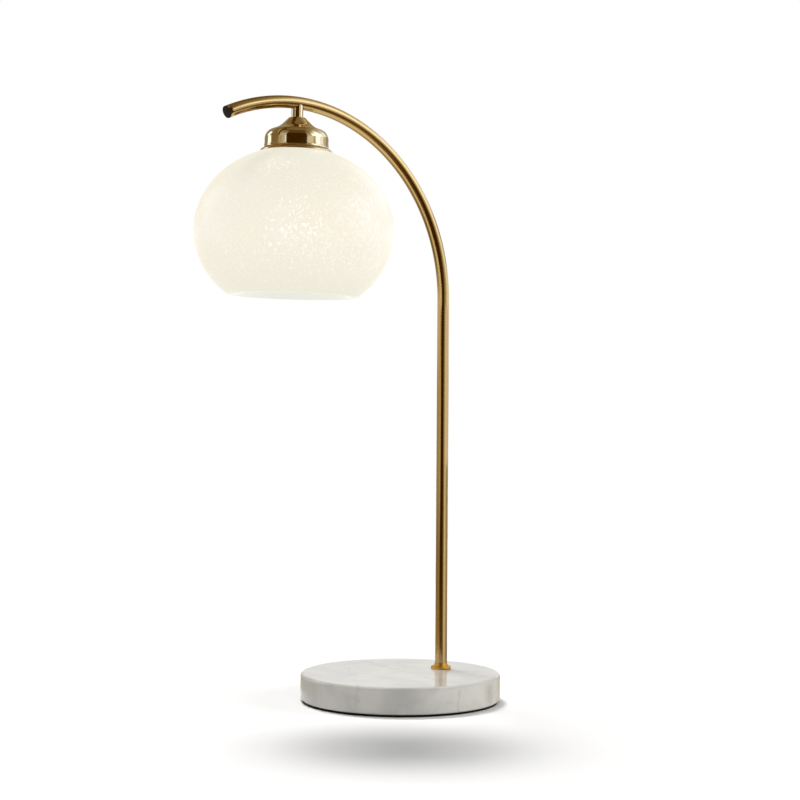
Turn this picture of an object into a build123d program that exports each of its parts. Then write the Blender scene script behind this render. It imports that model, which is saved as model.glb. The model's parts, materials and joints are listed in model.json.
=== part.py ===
from build123d import *
from math import asin, cos, degrees, radians, sin, sqrt
import os

# Table lamp: an opal glass globe, open below, hung from a bent brass tube on a marble base.
# Millimetres, +Z up. The origin is the centre of the base's underside. The stem stands at +X of
# that centre and its bend reaches towards -X. Pieces under the bend are drawn about their own
# axis, with z = 0 on the tube's centreline and z falling towards the shade, then set in place.

# ---- driving dimensions: base ----
base_diameter = 166.0
marble_thickness = 21.5
marble_top_rounding = 2.5
marble_foot_chamfer = 1.0
marble_over_recess = 8.5
pad_thickness = 2.0
pad_inset = 2.0
stem_offset = 43.0
recess_margin = 4.0
recess_corner = 6.0
rim_wall = 12.0

# ---- driving dimensions: cord inlet ----
inlet_height = 9.5
inlet_bore = 6.2
gland_wall = 1.4
gland_flange_diameter = 13.0
gland_flange_thickness = 2.0
gland_proud = 0.6
gland_overhang = 1.0

# ---- driving dimensions: stem ----
tube_diameter = 10.0
tube_wall = 1.0
bend_start_height = 335.0
bend_radius = 153.0
bend_end_angle = 113.7
neck_arc_angle = 88.5
plug_thickness = 1.2
plug_spigot_length = 7.0
plug_edge_rounding = 0.5

# ---- driving dimensions: foot fixing ----
collar_diameter = 17.0
collar_floor = 0.8
collar_thickness = 2.0
collar_rounding = 0.7
collar_cone_height = 3.0
collar_cone_wall = 0.9
foot_nipple_grip = 20.0
foot_washer_diameter = 22.0
foot_washer_thickness = 1.2
lock_washer_diameter = 14.0
lock_washer_thickness = 0.8
lock_washer_gap = 2.0
foot_nut_across_flats = 13.0
foot_nut_thickness = 3.0
nipple_overrun = 1.0

# ---- driving dimensions: terminal block ----
block_to_stem = 30.0
block_length = 15.0
block_width = 17.0
block_height = 10.0
pole_pitch = 8.0
insert_diameter = 4.0
insert_bore = 2.6
insert_length = 12.0
insert_screw_pitch = 7.0
block_screw_diameter = 2.4
block_screw_head = 3.6
block_screw_head_height = 1.4

# ---- driving dimensions: leads ----
lead_diameter = 1.8
lead_spacing = 2.2
lead_low_clearance = 0.6
lead_insert_depth = 5.0
lead_block_run = 4.5
lead_foot_run = 9.0
lead_corner_radius = 4.0
lead_foot_radius = 5.0
lead_neck_radius = 4.0
lead_fan_radius = 4.0
lead_fan_start = 3.0
lead_fan_drop = 6.0

# ---- driving dimensions: neck and gallery cup ----
neck_diameter = 9.4
neck_bore = 5.0
neck_length = 7.0
neck_thread_depth = 4.5
nipple_diameter = 8.0
nipple_bore = 6.0
cup_wall = 0.8
crown_radius = 6.6
bell_cone_width = 4.4
bell_flare_drop = 9.4
shoulder_width = 6.0
shoulder_drop = 17.4
cup_radius = 25.5
cup_side_drop = 22.9
bead_height = 0.9
bead_proud = 0.3
flare_waist_width = 1.7
flare_waist_drop = 25.3
flare_width = 3.5
flare_drop = 27.3
cup_washer_diameter = 12.0
cup_washer_thickness = 0.6
cup_nut_across_flats = 11.0
cup_nut_thickness = 2.5

# ---- driving dimensions: lampholder ----
holder_diameter = 39.6
holder_wall = 2.2
cap_boss_diameter = 16.0
cap_boss_height = 4.0
cap_dome_height = 7.5
cap_skirt_height = 8.3
cap_neck_overlap = 6.0
body_neck_wall = 1.6
holder_body_height = 34.0
holder_lip_height = 3.5
carrier_boss_height = 4.0
carrier_height = 8.0
terminal_radius = 9.0
terminal_hole_depth = 5.0
lead_to_screw = 4.4
carrier_screw_diameter = 2.9
carrier_screw_head = 5.0
carrier_screw_head_height = 1.6
shell_wall = 0.5
shell_length = 23.0
shell_flange_width = 2.6
shell_tab_width = 6.0
leaf_thickness = 0.5
leaf_width = 6.0
leaf_bow = 2.4
leaf_reach = 3.0

# ---- driving dimensions: glass globe and its clamping ring ----
globe_radius = 80.0
globe_half_height = 67.7
globe_cut_below_centre = 51.4
globe_wall = 3.0
globe_edge_bevel = 0.8
shade_ring_diameter = 56.0
shade_ring_flange = 2.2
shade_ring_hub_wall = 2.6
shade_ring_height = 8.4
shade_ring_notches = 12
shade_ring_notch_diameter = 3.0
gasket_edge_thickness = 0.8
gasket_edge_inset = 0.5

# ---- driving dimensions: bulb ----
bulb_diameter = 45.0
bulb_length = 78.0
bulb_glass_wall = 1.0
bulb_cap_diameter = 26.4
bulb_cap_wall = 0.5
bulb_cap_length = 25.0
bulb_cap_crown = 1.6
bulb_insulator_height = 3.6
bulb_contact_height = 2.0
bulb_contact_diameter = 9.6
bulb_neck_diameter = 24.0
bulb_neck_flare_radius = 12.0
bulb_neck_grip = 4.0
bulb_stem_flange = 1.5
bulb_stem_diameter = 4.0
bulb_stem_root_diameter = 12.0
bulb_stem_taper = 9.0
bulb_stem_length = 38.0
filament_diameter = 1.8
filament_length = 24.0
filament_circle = 7.0
filament_count = 4
spider_wire = 0.8

# ---- fits ----
braze_clearance = 0.05
thread_clearance = 0.1
fixing_clearance = 0.2
press_clearance = 0.05
shade_clearance = 0.3
holder_hole_clearance = 1.2
bulb_thread_clearance = 0.4
contact_clearance = 0.3

# ---- places that follow from them ----
base_radius = base_diameter / 2
marble_top = pad_thickness + marble_thickness
recess_roof = marble_top - marble_over_recess
recess_depth = recess_roof - pad_thickness
tube_radius = tube_diameter / 2
tube_bore = tube_diameter - 2 * tube_wall
bend_centre_x = stem_offset - bend_radius
tube_foot = marble_top + collar_floor
foot_nipple_diameter = tube_bore - 2 * braze_clearance
foot_stack = foot_washer_thickness + lock_washer_thickness + foot_nut_thickness
foot_nipple_end = recess_roof - foot_stack - nipple_overrun
neck_lean = 90.0 - neck_arc_angle
cup_top = -(tube_radius + neck_length)
cup_inner_top = cup_top - cup_wall
cup_nut_top = cup_inner_top - cup_washer_thickness
holder_top = cup_nut_top - cup_nut_thickness - thread_clearance
holder_radius = holder_diameter / 2
holder_inner_radius = holder_radius - holder_wall
cap_shoulder = holder_top - cap_boss_height - cap_dome_height
body_ledge = cap_shoulder - cap_skirt_height
holder_mouth = body_ledge - holder_body_height
body_neck_radius = holder_inner_radius - fixing_clearance
carrier_ledge = body_ledge - holder_wall
carrier_top = carrier_ledge + carrier_boss_height
carrier_bottom = body_ledge - carrier_height
carrier_boss_radius = body_neck_radius - body_neck_wall - fixing_clearance
shell_inner_radius = bulb_cap_diameter / 2 + bulb_thread_clearance
shell_radius = shell_inner_radius + shell_wall
shell_inner_flange = shell_radius - shell_flange_width
bulb_tip = carrier_bottom - leaf_bow - contact_clearance
bulb_bottom = bulb_tip - bulb_length
bulb_centre = bulb_bottom + bulb_diameter / 2
bulb_cap_mouth = bulb_tip - bulb_cap_length
flare_radius = cup_radius + flare_width
shade_seat_radius = flare_radius - cup_wall
globe_centre = (cup_top - flare_drop - shade_clearance
                - globe_half_height * sqrt(1 - (shade_seat_radius / globe_radius) ** 2))
globe_hole_radius = holder_radius + holder_hole_clearance
globe_inner_radius = globe_radius - globe_wall
globe_inner_half_height = globe_half_height - globe_wall
gasket_radius = shade_ring_diameter / 2 - gasket_edge_inset
ring_seat = (globe_centre - gasket_edge_thickness
             + globe_inner_half_height * sqrt(1 - (gasket_radius / globe_inner_radius) ** 2))
block_x = stem_offset - block_to_stem
pole_height = recess_roof - block_height / 2


def arc_place(angle, radius=bend_radius):
    """Point in the plane of the bend, at an angle up from +X about the bend's centre."""
    return (bend_centre_x + radius * cos(radians(angle)), 0.0,
            bend_start_height + radius * sin(radians(angle)))


neck_frame = Location(arc_place(neck_arc_angle), (0, neck_lean, 0))


def turned(profile):
    """Solid of revolution about the Z axis from a profile of radius and height."""
    return revolve(Plane.XZ * profile, Axis.Z)


def ring(outer_diameter, bore, low, high):
    """Flat ring about the Z axis between two heights."""
    width = (outer_diameter - bore) / 2
    return turned(Pos((outer_diameter + bore) / 4, (low + high) / 2) * Rectangle(width, high - low))


def disc(diameter, low, high):
    """Plain disc about the Z axis between two heights."""
    return Pos(0, 0, (low + high) / 2) * Cylinder(diameter / 2, high - low)


def hexagon_nut(across_flats, bore, low, high):
    """Plain hexagon nut about the Z axis."""
    section = RegularPolygon(across_flats / 2, 6, major_radius=False) - Circle(bore / 2)
    return Pos(0, 0, low) * extrude(section, high - low)


def save(name, *pieces):
    """Write one piece, or a group of like pieces, under its name."""
    shape = Compound([piece.solid() for piece in pieces]) if len(pieces) > 1 else pieces[0].solid()
    export_step(shape, f"parts/{name}.step")


# ---- base ----
def recess_block():
    """Hollow under the marble that takes the foot nut and the terminal block."""
    front = block_x - block_length / 2 - recess_margin
    back = base_radius - rim_wall
    width = max(foot_washer_diameter, block_width) + 2 * recess_margin
    section = RectangleRounded(back - front, width, recess_corner)
    return Pos((front + back) / 2, 0, pad_thickness) * extrude(section, recess_depth)


def inlet_cylinder(diameter, inner_x, outer_x):
    """Radial cylinder on the cord inlet's axis, at the back of the rim."""
    along_x = Rot(0, 90, 0) * Cylinder(diameter / 2, outer_x - inner_x)
    return Pos((inner_x + outer_x) / 2, 0, inlet_height) * along_x


gland_face = base_radius + gland_proud
gland_shoulder = gland_face - gland_flange_thickness
gland_diameter = inlet_bore + 2 * gland_wall
gland_inner_end = base_radius - rim_wall - gland_overhang


def marble_base():
    slab = Pos(0, 0, pad_thickness + marble_thickness / 2) * Cylinder(base_radius, marble_thickness)
    slab = fillet(slab.edges().group_by(Axis.Z)[-1], marble_top_rounding)
    slab = chamfer(slab.edges().group_by(Axis.Z)[0], marble_foot_chamfer)
    slab -= recess_block()
    slab -= Pos(stem_offset, 0, marble_top) * Cylinder(
        foot_nipple_diameter / 2 + fixing_clearance, 2 * marble_thickness)
    slab -= inlet_cylinder(gland_diameter + 2 * press_clearance, gland_inner_end, gland_face)
    slab -= inlet_cylinder(gland_flange_diameter + 2 * fixing_clearance, gland_shoulder,
                           gland_face + gland_flange_thickness)
    return slab


def base_pad():
    return disc(base_diameter - 2 * pad_inset, 0, pad_thickness)


def cord_gland():
    sleeve = inlet_cylinder(gland_diameter, gland_inner_end, gland_face)
    flange = inlet_cylinder(gland_flange_diameter, gland_shoulder, gland_face)
    bore = inlet_cylinder(inlet_bore, gland_inner_end - 1, gland_face + 1)
    return sleeve + flange - bore


# ---- foot fixing ----
def foot_collar():
    """Ring on the marble with a step that the tube stands on and a short cone round the tube."""
    bore_radius = tube_radius + braze_clearance
    step_radius = foot_nipple_diameter / 2 + fixing_clearance
    cone_radius = bore_radius + collar_cone_wall
    outer_radius = collar_diameter / 2
    ring_top = marble_top + collar_thickness
    cone_top = ring_top + collar_cone_height
    lip = collar_cone_wall / 4
    section = make_face(Polyline(
        (step_radius, marble_top), (outer_radius, marble_top), (outer_radius, ring_top),
        (cone_radius, ring_top), (bore_radius + lip, cone_top), (bore_radius, cone_top),
        (bore_radius, tube_foot), (step_radius, tube_foot), close=True))
    rim = section.vertices().sort_by(Axis.X)[-2:]
    return Pos(stem_offset, 0, 0) * turned(fillet(rim, collar_rounding))


def foot_nipple():
    top = tube_foot + foot_nipple_grip
    return Pos(stem_offset, 0, 0) * ring(foot_nipple_diameter, nipple_bore, foot_nipple_end, top)


def foot_washer():
    bore = foot_nipple_diameter + 2 * fixing_clearance
    low = recess_roof - foot_washer_thickness
    return Pos(stem_offset, 0, 0) * ring(foot_washer_diameter, bore, low, recess_roof)


def foot_lock_washer():
    """Split ring between the washer and the nut."""
    high = recess_roof - foot_washer_thickness
    low = high - lock_washer_thickness
    bore = foot_nipple_diameter + 2 * fixing_clearance
    split = Pos(0, lock_washer_diameter / 2, (low + high) / 2) * Box(
        lock_washer_gap, lock_washer_diameter, 2 * lock_washer_thickness)
    return Pos(stem_offset, 0, 0) * (ring(lock_washer_diameter, bore, low, high) - split)


def foot_nut():
    low = recess_roof - foot_stack
    bore = foot_nipple_diameter + 2 * thread_clearance
    nut = hexagon_nut(foot_nut_across_flats, bore, low, low + foot_nut_thickness)
    return Pos(stem_offset, 0, 0) * nut


# ---- terminal block ----
def pole_cylinder(diameter, side, length):
    """Cylinder along X on one pole's axis, centred on the block."""
    return Pos(block_x, side * pole_pitch / 2, pole_height) * Rot(0, 90, 0) * Cylinder(diameter / 2, length)


def screw_places():
    """Axes of the block's four clamping screws, as (x, y)."""
    return [(block_x + end * insert_screw_pitch / 2, side * pole_pitch / 2)
            for side in (-1, 1) for end in (-1, 1)]


def terminal_block():
    body = Pos(block_x, 0, pole_height) * Box(block_length, block_width, block_height)
    body = fillet(body.edges().filter_by(Axis.Z), block_height / 10)
    for side in (-1, 1):
        body -= pole_cylinder(insert_diameter + 2 * fixing_clearance, side, 2 * block_length)
    for x, y in screw_places():
        hole = Cylinder(block_screw_head / 2 + fixing_clearance, block_height)
        body -= Pos(x, y, pole_height - block_height / 2) * hole
    return body


def block_inserts():
    inserts = []
    for side in (-1, 1):
        insert = pole_cylinder(insert_diameter, side, insert_length)
        insert -= pole_cylinder(insert_bore, side, 2 * insert_length)
        for x, y in screw_places():
            hole = Cylinder(block_screw_diameter / 2 + thread_clearance, insert_diameter)
            insert -= Pos(x, y, pole_height - insert_diameter / 2) * hole
        inserts.append(insert)
    return inserts


def block_screws():
    """Screws from below, each with its point against the conductor in the insert."""
    point = pole_height - lead_diameter / 2 - press_clearance
    neck = pole_height - insert_diameter / 2 - fixing_clearance
    screws = []
    for x, y in screw_places():
        screw = disc(block_screw_diameter, neck - fixing_clearance, point)
        screw += disc(block_screw_head, neck - block_screw_head_height, neck)
        screws.append(Pos(x, y, 0) * screw)
    return screws


# ---- stem ----
def bend_edge(first, last, y=0.0, radius=bend_radius):
    """Arc of the bend between two angles, in a plane parallel to that of the bend."""
    angles = (first, (first + last) / 2, last)
    points = [arc_place(angle, radius) for angle in angles]
    return ThreePointArc(*[(x, y, z) for x, _, z in points])


def bent_rod(diameter):
    """Solid rod along the whole centreline of the stem."""
    path = Wire(list(Line((stem_offset, 0, tube_foot), arc_place(0)).edges())
                + list(bend_edge(0, bend_end_angle).edges()))
    return sweep(Plane((stem_offset, 0, tube_foot)) * Circle(diameter / 2), path=path)


def stem_tube():
    lead_hole = neck_frame * (Pos(0, 0, -tube_radius) * Cylinder(neck_bore / 2, tube_diameter))
    return bent_rod(tube_diameter) - bent_rod(tube_bore) - lead_hole


def end_plug():
    """Domed plug with a spigot in the open end of the bend."""
    face = disc(tube_diameter, 0, plug_thickness)
    face = fillet(face.edges().group_by(Axis.Z)[-1], plug_edge_rounding)
    spigot = disc(tube_bore - 2 * fixing_clearance, -plug_spigot_length, 0)
    return Location(arc_place(bend_end_angle), (0, -bend_end_angle, 0)) * (face + spigot)


def neck_sleeve():
    """Short sleeve, coped to the underside of the tube and threaded for the nipple."""
    sleeve = disc(neck_diameter, cup_top, 0)
    sleeve -= disc(neck_bore, cup_top - 1, 1)
    sleeve -= disc(nipple_diameter + 2 * thread_clearance, cup_top - 1, cup_top + neck_thread_depth)
    return (neck_frame * sleeve) - bent_rod(tube_diameter)


# ---- shade holder ----
def neck_nipple():
    top = cup_top + neck_thread_depth - thread_clearance
    return neck_frame * ring(nipple_diameter, nipple_bore, holder_top - cap_boss_height, top)


def cup_outline():
    """Outer line of the gallery cup, from the edge of its crown down to the lip of its flare."""
    cone_foot = (crown_radius + bell_cone_width, cup_top - bell_cone_width)
    bell_foot = (cup_radius - shoulder_width, cup_top - bell_flare_drop)
    shoulder_foot = (cup_radius, cup_top - shoulder_drop)
    side_foot = (cup_radius, cup_top - cup_side_drop)
    waist = (cup_radius + flare_waist_width, cup_top - flare_waist_drop)
    lip = (flare_radius, cup_top - flare_drop)
    cone = Line((crown_radius, cup_top), cone_foot)
    bell = TangentArc(cone_foot, bell_foot, tangent=cone % 1)
    shoulder = TangentArc(bell_foot, shoulder_foot, tangent=bell % 1)
    side = Line(shoulder_foot, side_foot)
    flare = TangentArc(side_foot, waist, tangent=side % 1)
    lip_curl = TangentArc(waist, lip, tangent=flare % 1)
    hole_edge = (nipple_diameter / 2 + thread_clearance, cup_top)
    crown = Line(hole_edge, (crown_radius, cup_top))
    return Wire([crown.edge(), cone.edge(), bell.edge(), shoulder.edge(), side.edge(),
                 flare.edge(), lip_curl.edge()])


def gallery_cup():
    sheet = make_face(offset(cup_outline(), amount=cup_wall, side=Side.RIGHT).edges())
    bead_low = cup_top - cup_side_drop
    bead = ring(2 * (cup_radius + bead_proud), 2 * (cup_radius - cup_wall / 2),
                bead_low, bead_low + bead_height)
    return neck_frame * (turned(sheet) + bead)


def cup_washer():
    bore = nipple_diameter + 2 * thread_clearance
    return neck_frame * ring(cup_washer_diameter, bore, cup_nut_top, cup_inner_top)


def cup_nut():
    bore = nipple_diameter + 2 * thread_clearance
    nut = hexagon_nut(cup_nut_across_flats, bore, cup_nut_top - cup_nut_thickness, cup_nut_top)
    return neck_frame * nut


def holder_cap():
    """Domed upper half of the lampholder, with a threaded boss on the nipple."""
    boss = cap_boss_diameter / 2
    bore = nipple_diameter / 2 + thread_clearance
    boss_foot = holder_top - cap_boss_height
    section = make_face(Polyline(
        (bore, holder_top), (boss, holder_top), (boss, boss_foot), (holder_radius, cap_shoulder),
        (holder_radius, body_ledge), (holder_inner_radius, body_ledge),
        (holder_inner_radius, cap_shoulder - holder_wall / 2),
        (boss, boss_foot - holder_wall), (bore, boss_foot - holder_wall), close=True))
    shoulder = section.vertices().filter_by(lambda v: v.Y == cap_shoulder)
    return neck_frame * turned(fillet(shoulder, holder_wall))


def holder_body():
    """Lower half: neck inside the cap, outer skirt threaded for the ring, lip round the mouth."""
    neck_top = body_ledge + cap_neck_overlap
    neck_bore_radius = body_neck_radius - body_neck_wall
    lip_top = holder_mouth + holder_lip_height
    lip_radius = shell_radius + fixing_clearance
    section = make_face(Polyline(
        (neck_bore_radius, neck_top), (body_neck_radius, neck_top), (body_neck_radius, body_ledge),
        (holder_radius, body_ledge), (holder_radius, holder_mouth), (lip_radius, holder_mouth),
        (lip_radius, lip_top), (holder_inner_radius, lip_top),
        (holder_inner_radius, body_ledge - holder_wall),
        (neck_bore_radius, body_ledge - holder_wall), close=True))
    mouth = section.vertices().filter_by(lambda v: v.Y == holder_mouth)
    return neck_frame * turned(fillet(mouth, holder_wall / 4))


def screw_shell():
    """Brass shell with a flange under the ceramic and a tab to one screw."""
    bottom = carrier_bottom - shell_length
    shell = ring(2 * shell_radius, 2 * shell_inner_radius, bottom, carrier_bottom)
    shell += ring(2 * shell_radius, 2 * shell_inner_flange, carrier_bottom - shell_wall, carrier_bottom)
    inner_end = shell_tab_width / 2 - terminal_radius
    outer_end = -(shell_inner_flange + shell_flange_width / 2)
    tab = Box(shell_tab_width, inner_end - outer_end, shell_wall)
    shell += Pos(0, (inner_end + outer_end) / 2, carrier_bottom - shell_wall / 2) * tab
    return neck_frame * (shell - carrier_screw_hole(-1))


def carrier_screw_hole(side):
    """Clearance hole for one carrier screw, through everything on its axis."""
    hole = disc(carrier_screw_diameter + 2 * thread_clearance,
                carrier_bottom - leaf_bow / 2, carrier_top + 1)
    return Pos(0, side * terminal_radius, 0) * hole


def contact_carrier():
    """Ceramic disc with a boss in the neck of the body, lead holes and screw holes."""
    carrier = disc(2 * (holder_inner_radius - fixing_clearance), carrier_bottom, carrier_ledge)
    carrier += disc(2 * carrier_boss_radius, carrier_ledge, carrier_top)
    for side in (-1, 1):
        lead_hole = Cylinder(lead_diameter / 2 + fixing_clearance, 2 * terminal_hole_depth)
        carrier -= Pos(0, side * (terminal_radius - lead_to_screw), carrier_top) * lead_hole
        carrier -= carrier_screw_hole(side)
    return neck_frame * carrier


def carrier_screws():
    """Two screws that join the leads to the shell's tab and to the contact leaf."""
    shank = disc(carrier_screw_diameter, carrier_bottom - shell_wall, carrier_top)
    head = disc(carrier_screw_head, carrier_top, carrier_top + carrier_screw_head_height)
    return [neck_frame * (Pos(0, side * terminal_radius, 0) * (shank + head)) for side in (-1, 1)]


def centre_contact():
    """Springy brass leaf: flat under its screw, folded back below the middle."""
    root = sqrt((shell_inner_flange - fixing_clearance) ** 2 - (leaf_width / 2) ** 2)
    high = carrier_bottom - leaf_thickness / 2
    low = carrier_bottom - leaf_bow + leaf_thickness / 2
    fold = (high - low) / 2
    flat = Line((root, high), (-leaf_reach, high))
    turn = CenterArc((-leaf_reach, high - fold), fold, 90, 180)
    back = Line((-leaf_reach, low), (leaf_reach, low))
    strip = trace([flat.edge(), turn.edge(), back.edge()], line_width=leaf_thickness)
    leaf = extrude(Plane.YZ * strip, leaf_width / 2, both=True)
    return neck_frame * (leaf - carrier_screw_hole(1))


# ---- leads ----
def lead_path(side):
    """One conductor: block, foot nipple, stem, bend, neck, then out to its carrier hole."""
    pole_y = side * pole_pitch / 2
    stem_y = side * lead_spacing / 2
    hole_y = side * (terminal_radius - lead_to_screw)
    low = pad_thickness + lead_diameter / 2 + lead_low_clearance
    foot = FilletPolyline(
        (block_x + insert_length / 2 - lead_insert_depth, pole_y, pole_height),
        (block_x + block_length / 2 + lead_block_run, pole_y, pole_height),
        (stem_offset - lead_foot_run, stem_y, low),
        (stem_offset, stem_y, low),
        (stem_offset, stem_y, bend_start_height),
        radius=[lead_corner_radius, lead_corner_radius, lead_foot_radius])

    inner_radius = bend_radius - lead_neck_radius
    turn_angle = degrees(asin(lead_neck_radius / inner_radius))
    leave_angle = neck_arc_angle - turn_angle
    bend = bend_edge(0, leave_angle, stem_y)
    drop_radius = inner_radius * cos(radians(turn_angle))
    centre_x, _, centre_z = arc_place(leave_angle, inner_radius)
    middle = neck_arc_angle + (90 - turn_angle) / 2
    corner = ThreePointArc(
        bend @ 1,
        (centre_x + lead_neck_radius * cos(radians(middle)), stem_y,
         centre_z + lead_neck_radius * sin(radians(middle))),
        (arc_place(neck_arc_angle, drop_radius)[0], stem_y, arc_place(neck_arc_angle, drop_radius)[2]))

    fan_top = holder_top - cap_boss_height - lead_fan_start
    drop = neck_frame * FilletPolyline(
        (0, stem_y, drop_radius - bend_radius),
        (0, stem_y, fan_top),
        (0, hole_y, fan_top - lead_fan_drop),
        (0, hole_y, carrier_top - terminal_hole_depth + fixing_clearance),
        radius=lead_fan_radius)
    return Wire([*foot.edges(), *bend.edges(), *corner.edges(), *drop.edges()])


def lead(side):
    path = lead_path(side)
    return sweep(Plane(origin=path @ 0, z_dir=path % 0) * Circle(lead_diameter / 2), path=path)


# ---- glass globe ----
def glass_globe():
    """Ellipsoid shell with a hole for the holder and a flat cut across its open mouth."""
    wall = (Ellipse(globe_radius, globe_half_height)
            - Ellipse(globe_inner_radius, globe_inner_half_height))
    height = globe_half_height + globe_cut_below_centre
    kept = Rectangle(globe_radius, height, align=(Align.MIN, Align.MIN))
    section = (wall & (Pos(globe_hole_radius, -globe_cut_below_centre) * kept)).face()
    glass = turned(section)
    rims = glass.edges().filter_by(GeomType.CIRCLE)
    low_rims = rims.group_by(Axis.Z)[0]
    glass = chamfer([*low_rims, *rims.sort_by(SortBy.RADIUS)[:2]], globe_edge_bevel)
    return neck_frame * (Pos(0, 0, globe_centre) * glass)


def shade_ring():
    """Ring on the holder's thread that presses the glass up against the cup."""
    bore = holder_diameter + 2 * thread_clearance
    hub_diameter = bore + 2 * shade_ring_hub_wall
    body = ring(hub_diameter, bore, ring_seat - shade_ring_height, ring_seat)
    notch = disc(shade_ring_notch_diameter, ring_seat - shade_ring_height, ring_seat - shade_ring_flange)
    for place in PolarLocations(hub_diameter / 2, shade_ring_notches):
        body -= place * notch
    return neck_frame * (body + ring(shade_ring_diameter, bore, ring_seat - shade_ring_flange, ring_seat))


def shade_gasket():
    """Soft ring that fills the wedge between the clamping ring and the inside of the glass."""
    inner = globe_hole_radius + fixing_clearance
    band = Rectangle(gasket_radius - inner, globe_wall * 2, align=(Align.MIN, Align.MIN))
    under_glass = Ellipse(globe_inner_radius - press_clearance, globe_inner_half_height - press_clearance)
    section = (Pos(inner, ring_seat) * band) & (Pos(0, globe_centre) * under_glass)
    return neck_frame * turned(section.face())


# ---- bulb ----
bulb_neck_top = bulb_cap_mouth + bulb_neck_grip
insulator_foot = bulb_tip - bulb_contact_height - bulb_insulator_height
spider_top = bulb_neck_top - bulb_stem_flange - bulb_stem_taper - 2 * spider_wire
spider_bottom = spider_top - filament_length - spider_wire


def bulb_blank(inset):
    """Solid of the bulb's glass outline, drawn in by an inset all round."""
    neck = bulb_neck_diameter / 2 - inset
    sphere = bulb_diameter / 2 - inset
    flare = bulb_neck_flare_radius + inset
    flare_height = sqrt((sphere + flare) ** 2 - (neck + flare) ** 2)
    share = sphere / (sphere + flare)
    side = Line((neck, bulb_neck_top), (neck, bulb_centre + flare_height))
    curve = TangentArc(side @ 1, ((neck + flare) * share, bulb_centre + flare_height * share),
                       tangent=side % 1)
    dome = TangentArc(curve @ 1, (0, bulb_centre - sphere), tangent=curve % 1)
    middle = Line(dome @ 1, (0, bulb_neck_top))
    top = Line(middle @ 1, side @ 0)
    return turned(make_face([edge.edge() for edge in (side, curve, dome, middle, top)]))


def bulb_envelope():
    return neck_frame * (bulb_blank(0) - bulb_blank(bulb_glass_wall))


def bulb_cap():
    """Thin metal shell round the bulb's neck, drawn in at its crown."""
    outer = bulb_cap_diameter / 2
    inner = outer - bulb_cap_wall
    section = make_face(Polyline(
        (inner, bulb_cap_mouth), (outer, bulb_cap_mouth), (outer, insulator_foot - bulb_cap_crown),
        (outer - bulb_cap_crown, insulator_foot),
        (outer - bulb_cap_crown - bulb_cap_wall, insulator_foot),
        (inner, insulator_foot - bulb_cap_crown - bulb_cap_wall), close=True))
    return neck_frame * turned(section)


def bulb_insulator():
    """Cone of black glass between the cap's crown and the end contact."""
    base = bulb_cap_diameter / 2 - bulb_cap_crown - bulb_cap_wall - press_clearance
    tip = bulb_contact_diameter / 2
    top = insulator_foot + bulb_insulator_height
    foot = insulator_foot - bulb_cap_wall
    section = make_face(Polyline(
        (0, foot), (base, foot), (base, insulator_foot), (tip, top), (0, top), close=True))
    return neck_frame * turned(section)


def bulb_contact():
    contact = disc(bulb_contact_diameter, bulb_tip - bulb_contact_height, bulb_tip)
    return neck_frame * fillet(contact.edges().group_by(Axis.Z)[-1], bulb_contact_height / 2)


def bulb_stem():
    """Glass mount: a flange in the neck, a taper and a rod that carries the filaments."""
    flange = bulb_neck_diameter / 2 - bulb_glass_wall - press_clearance
    root = bulb_stem_root_diameter / 2
    rod = bulb_stem_diameter / 2
    flange_foot = bulb_neck_top - bulb_stem_flange
    section = make_face(Polyline(
        (0, bulb_neck_top), (flange, bulb_neck_top), (flange, flange_foot), (root, flange_foot),
        (rod, flange_foot - bulb_stem_taper), (rod, bulb_neck_top - bulb_stem_length),
        (0, bulb_neck_top - bulb_stem_length), close=True))
    return neck_frame * turned(section)


def filament_places():
    return PolarLocations(filament_circle, filament_count)


def filament_frame():
    """Two wire spiders on the glass rod, with an arm to each end of every filament."""
    hub_bore = bulb_stem_diameter + 2 * press_clearance
    spiders = []
    for level in (spider_top, spider_bottom):
        spider = ring(hub_bore + 2 * spider_wire, hub_bore, level - spider_wire / 2, level + spider_wire / 2)
        reach = filament_circle + filament_diameter / 2 - hub_bore / 2
        arm = Box(reach, spider_wire, spider_wire, align=(Align.MIN, Align.CENTER, Align.CENTER))
        for turn in PolarLocations(0, filament_count):
            spider += turn * (Pos(hub_bore / 2 + spider_wire / 4, 0, level) * arm)
        spiders.append(neck_frame * spider)
    return spiders


def bulb_filaments():
    rod = disc(filament_diameter, spider_bottom + spider_wire / 2, spider_top - spider_wire / 2)
    return [neck_frame * (place * rod) for place in filament_places()]


pieces = {
    "marble_base": [marble_base()],
    "base_pad": [base_pad()],
    "cord_gland": [cord_gland()],
    "terminal_block": [terminal_block()],
    "block_inserts": block_inserts(),
    "block_screws": block_screws(),
    "foot_collar": [foot_collar()],
    "foot_nipple": [foot_nipple()],
    "foot_washer": [foot_washer()],
    "foot_lock_washer": [foot_lock_washer()],
    "foot_nut": [foot_nut()],
    "stem_tube": [stem_tube()],
    "end_plug": [end_plug()],
    "neck_sleeve": [neck_sleeve()],
    "neck_nipple": [neck_nipple()],
    "lead_line": [lead(1)],
    "lead_neutral": [lead(-1)],
    "gallery_cup": [gallery_cup()],
    "cup_washer": [cup_washer()],
    "cup_nut": [cup_nut()],
    "holder_cap": [holder_cap()],
    "holder_body": [holder_body()],
    "contact_carrier": [contact_carrier()],
    "carrier_screws": carrier_screws(),
    "screw_shell": [screw_shell()],
    "centre_contact": [centre_contact()],
    "shade_ring": [shade_ring()],
    "shade_gasket": [shade_gasket()],
    "glass_globe": [glass_globe()],
    "bulb_contact": [bulb_contact()],
    "bulb_insulator": [bulb_insulator()],
    "bulb_cap": [bulb_cap()],
    "bulb_envelope": [bulb_envelope()],
    "bulb_stem": [bulb_stem()],
    "filament_frame": filament_frame(),
    "bulb_filaments": bulb_filaments(),
}

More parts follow.
